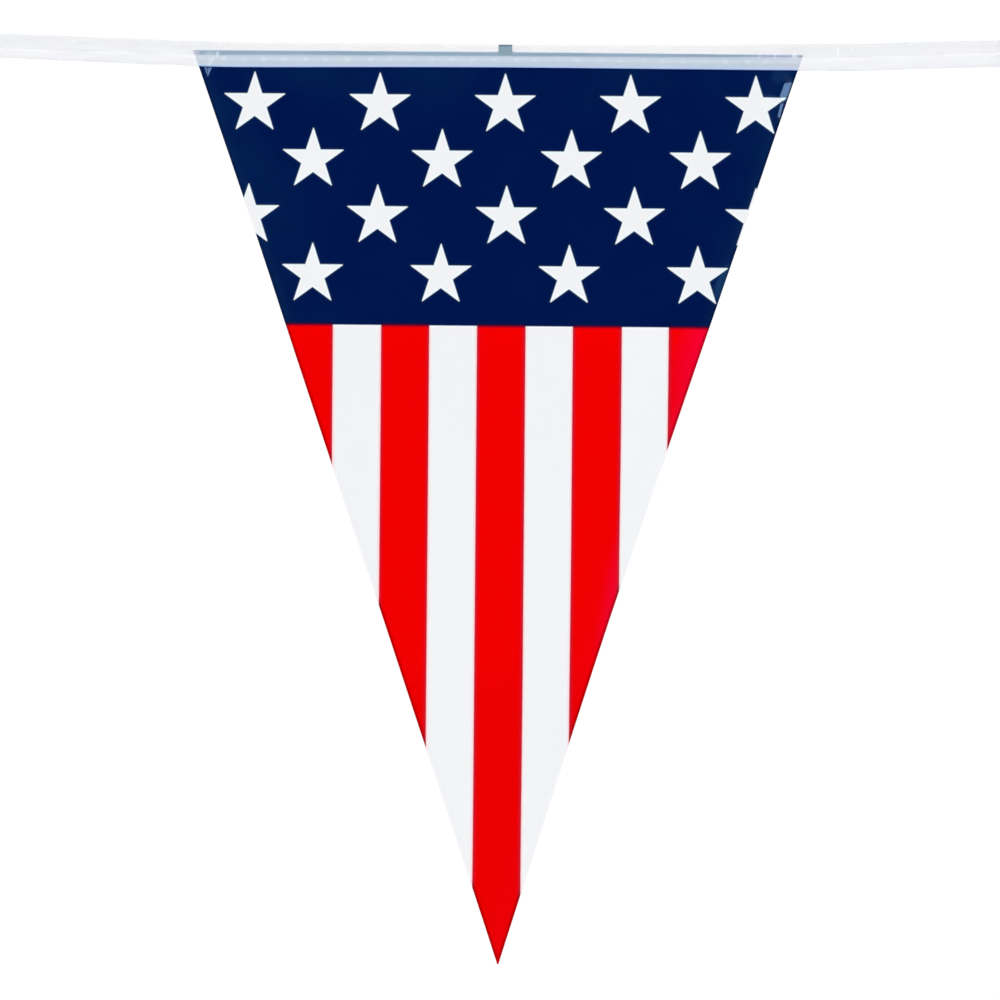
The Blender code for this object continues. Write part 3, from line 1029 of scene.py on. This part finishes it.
def make_world(stage):
    """A plain bright background. The studio is dark straight ahead and behind, and pale to the sides."""
    world = bpy.data.worlds.new("plain_studio")
    world.use_nodes = True
    net = Net(world.node_tree)
    background = world.node_tree.nodes["Background"].inputs
    _, ahead, _ = net.parts(net.place("Generated"))
    light = abs(ahead).step(0.90, 0.66, 0.004, stage.fill)
    rays = net.node("ShaderNodeLightPath").outputs
    seen, mirrored = Term(net, rays["Is Camera Ray"]), Term(net, rays["Is Glossy Ray"])
    room = net.mix(mirrored, (1.0, 1.0, 1.0), (0.42, 0.70, 1.0))  # gloss mirrors a bluish room
    net.feed(background["Color"], net.shade(room, (stage.backdrop - light) * seen + light))
    background["Strength"].default_value = 1.0
    world.cycles.sampling_method = "NONE"  # so that every ray of light keeps its kind
    bpy.context.scene.world = world


def make_floor(stage):
    """A pale round floor that fades into the background at its rim."""
    ring = bmesh.new()
    bmesh.ops.create_circle(ring, cap_ends=True, segments=96, radius=stage.floor_radius)
    floor = new_piece("studio_floor", ring)
    floor.location = (0.0, 0.0, stage.floor_height)
    material, net, shader = new_material("Pale floor")
    x, y, _ = net.parts(net.place())
    speckle = net.noise(net.vector(x, y), 300.0).step(0.2, 0.8, 0.985, 1.0)
    net.feed(shader["Base Color"], net.shade((0.86, 0.86, 0.865), speckle))
    shader["Roughness"].default_value = 0.8
    net.feed(shader["Alpha"], net.distance(x, y).step(stage.floor_radius * 0.45, stage.floor_radius, 1.0, 0.0))
    floor.data.materials.append(material)
    floor.visible_glossy = False  # gloss mirrors only the bluish room and the windows


def make_light(name, place, target, size, power, colour, mirrored):
    """An area light. A mirrored one shows only in gloss, and any other one lights everything but gloss."""
    data = bpy.data.lights.new(name, "AREA")
    data.shape = "RECTANGLE"
    data.size, data.size_y = size
    data.energy = power
    data.color = colour
    light = bpy.data.objects.new(name, data)
    bpy.context.scene.collection.objects.link(light)
    aim(light, place, target)
    light.visible_camera = False
    light.visible_diffuse = not mirrored
    light.visible_transmission = not mirrored
    light.visible_glossy = mirrored


def make_lights(stage):
    middle = (0.0, 0.0, -0.13)
    white, sky = (1.0, 1.0, 1.0), (0.34, 0.58, 1.0)
    away = 1.15
    for name, x in (("left", -away), ("right", away)):
        make_light("soft_box_" + name, (x, -away, 0.0), middle, (0.45, 1.7), stage.box_power, white, False)
        make_light("back_box_" + name, (x, away, 0.0), middle, (0.45, 1.7), stage.back_power, white, False)
        make_light("window_" + name, (x, -away, 0.72), middle, (0.6, 1.0), stage.window_power, sky, True)
    make_light("top_light", (0.0, -0.2, 1.5), middle, (1.2, 1.2), stage.top_power, white, False)


# ---------------------------------------------------------------- operators and panel


class BUNTING_OT_add_stage(bpy.types.Operator):
    """Adds the camera, the plain background, the floor and the lights"""

    bl_idname = "bunting.add_stage"
    bl_label = "Add studio"

    def execute(self, context):
        stage = context.scene.bunting_stage
        make_camera(stage)
        make_world(stage)
        make_floor(stage)
        make_lights(stage)
        context.scene.view_settings.view_transform = "Standard"
        context.scene.view_settings.look = "None"
        return {"FINISHED"}


class BUNTING_OT_add_pennant(bpy.types.Operator):
    """Adds the printed pennant as it hangs"""

    bl_idname = "bunting.add_pennant"
    bl_label = "Add pennant"

    def execute(self, context):
        cut = context.scene.bunting_pennant
        print_nodes = print_group(cut)
        pennant = make_pennant(cut)
        dress(pennant, "pennant", [
            printed_film("Printed film front", cut, print_nodes, 0.0, 0.14),
            printed_film("Printed film back", cut, print_nodes, 0.035, 0.24),
            cut_edge_film(cut),
        ])
        area = cut.width * cut.length / 2
        return {"FINISHED"}


class BUNTING_OT_add_tape(bpy.types.Operator):
    """Adds the folded film tape that holds the pennant"""

    bl_idname = "bunting.add_tape"
    bl_label = "Add tape"

    def execute(self, context):
        tape, cut = context.scene.bunting_tape, context.scene.bunting_pennant
        piece = make_tape(tape, cut)
        dress(piece, "tape", [tape_film(tape, cut)])
        return {"FINISHED"}


class BUNTING_PT_panel(bpy.types.Panel):
    bl_idname = "BUNTING_PT_panel"
    bl_label = "Pennant bunting"
    bl_space_type = "VIEW_3D"
    bl_region_type = "UI"
    bl_category = "Bunting"

    def draw(self, context):
        for operator, settings in (
            (BUNTING_OT_add_pennant, context.scene.bunting_pennant),
            (BUNTING_OT_add_tape, context.scene.bunting_tape),
            (BUNTING_OT_add_stage, context.scene.bunting_stage),
        ):
            box = self.layout.box()
            box.operator(operator.bl_idname)
            for name in settings.__annotations__:
                box.prop(settings, name)


CLASSES = (
    BuntingPennantSettings, BuntingTapeSettings, BuntingStageSettings,
    BUNTING_OT_add_stage, BUNTING_OT_add_pennant, BUNTING_OT_add_tape, BUNTING_PT_panel,
)


def register():
    for cls in CLASSES:
        bpy.utils.register_class(cls)
    bpy.types.Scene.bunting_pennant = PointerProperty(type=BuntingPennantSettings)
    bpy.types.Scene.bunting_tape = PointerProperty(type=BuntingTapeSettings)
    bpy.types.Scene.bunting_stage = PointerProperty(type=BuntingStageSettings)


def unregister():
    for name in ("bunting_pennant", "bunting_tape", "bunting_stage"):
        delattr(bpy.types.Scene, name)
    for cls in reversed(CLASSES):
        bpy.utils.unregister_class(cls)


def main():
    register()
    bpy.ops.bunting.add_stage()
    bpy.ops.bunting.add_pennant()
    bpy.ops.bunting.add_tape()


if __name__ == "__main__":
    main()
